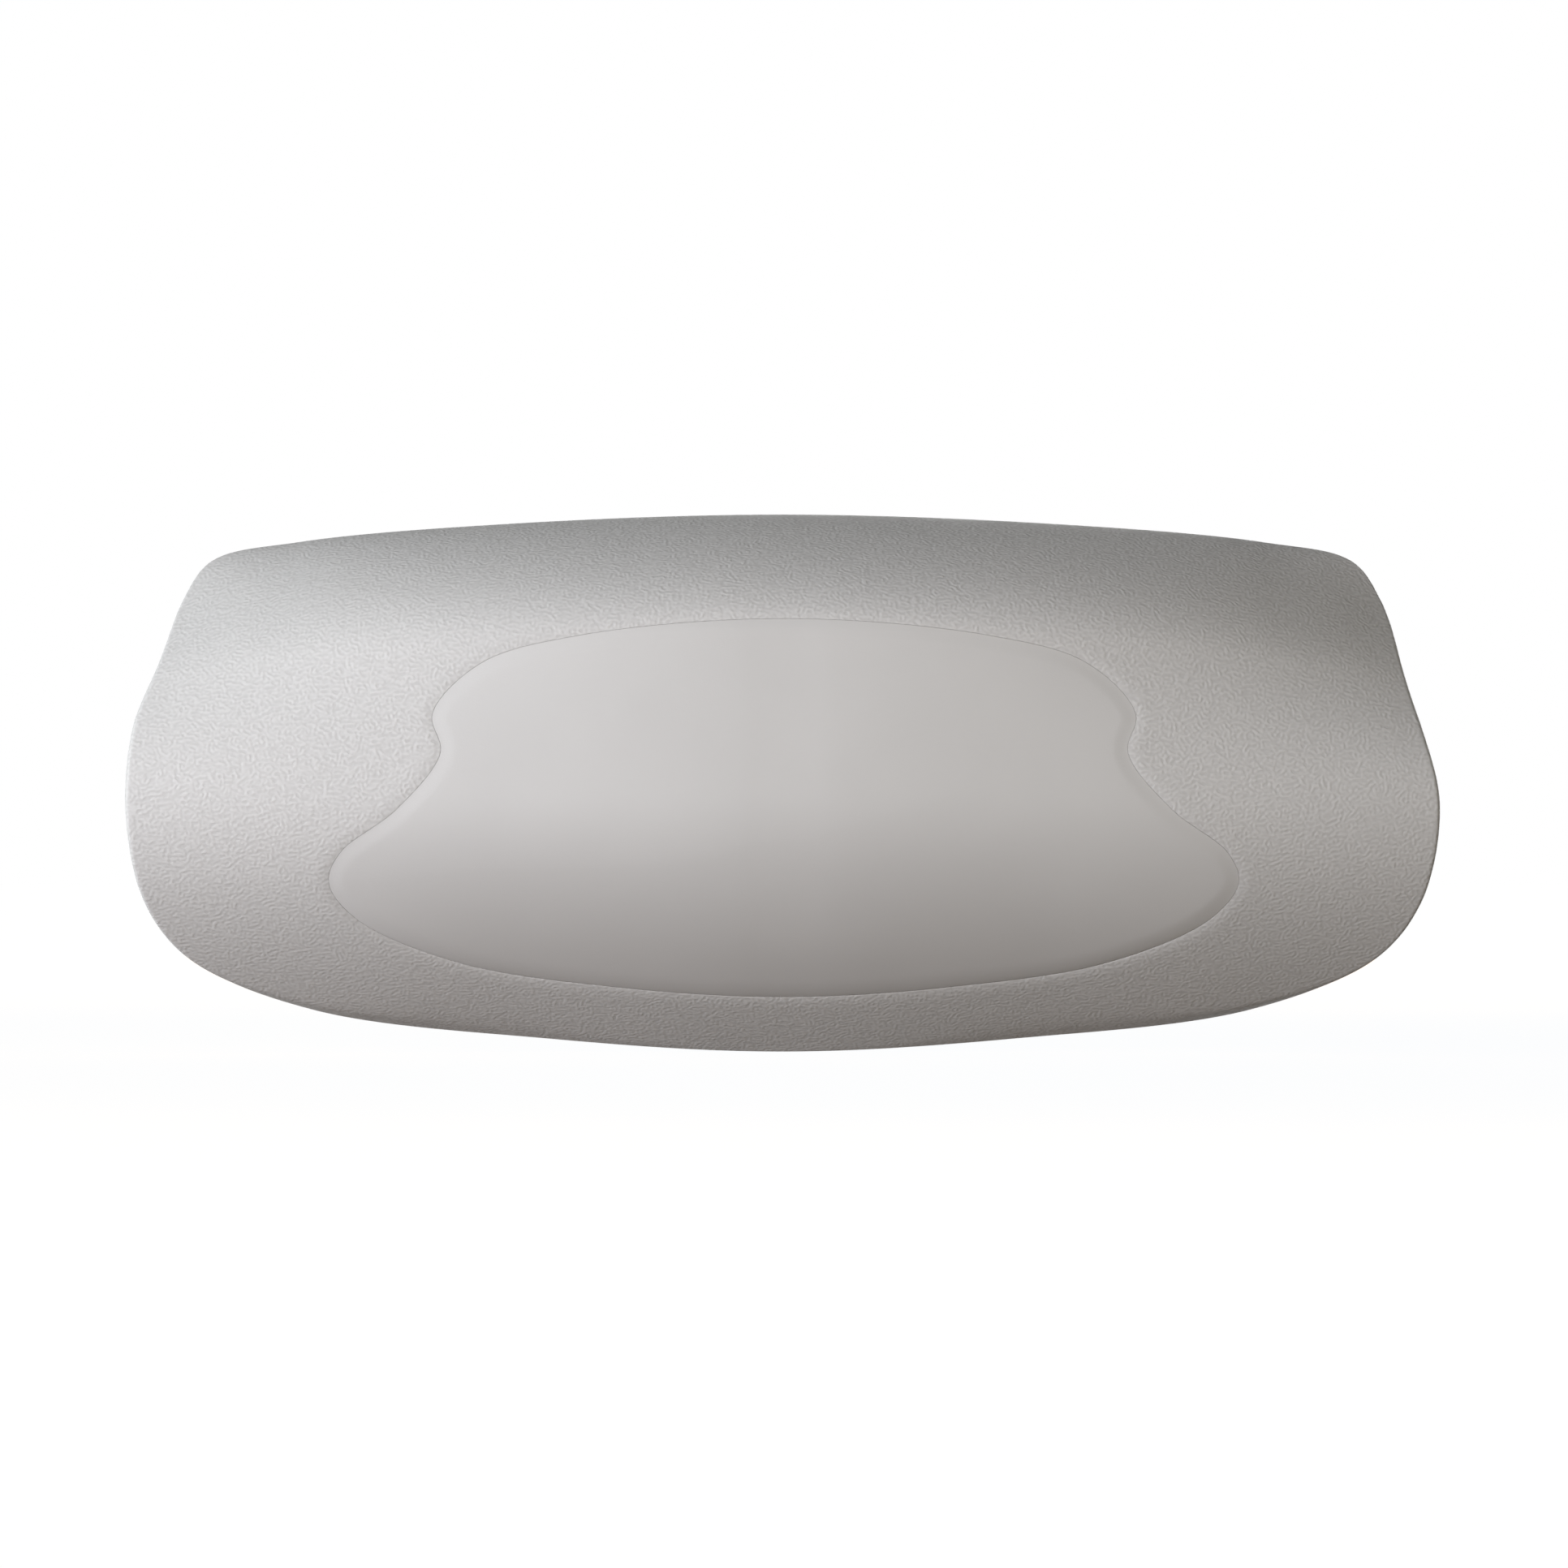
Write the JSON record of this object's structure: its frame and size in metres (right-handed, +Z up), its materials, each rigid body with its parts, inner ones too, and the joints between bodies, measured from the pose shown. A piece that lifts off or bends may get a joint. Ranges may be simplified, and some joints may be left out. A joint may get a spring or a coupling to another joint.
{
  "type": "bath pillow",
  "caption": "Moulded foam headrest pillow for a jetted bath or spa: grained skin, smooth raised head pad on the front, ribbed rear insert and barbed push-in pins behind.",
  "frame": {"origin": "middle of the rear seat face, which lies on the tub wall, midway between the two pins", "axes": "+X along the pillow's length, to the right as seen from the front; +Y out of the back, along the pins into the tub wall; +Z up"},
  "size_m": [0.28, 0.0793, 0.1146],
  "materials": {
    "grained_skin": "satin",
    "head_pad": "satin",
    "foam": "matte",
    "insert_plastic": "matte",
    "pin_plastic": "satin",
    "stainless": "satin"
  },
  "bodies": {
    "root": {"grained_skin": "grained_skin", "head_pad": "head_pad", "foam_core": "foam", "rear_insert": "insert_plastic", "left_mounting_pin": "pin_plastic", "right_mounting_pin": "pin_plastic", "left_pin_screw": "stainless", "right_pin_screw": "stainless", "left_pin_washer": "stainless", "right_pin_washer": "stainless"}
  },
  "joints": []
}
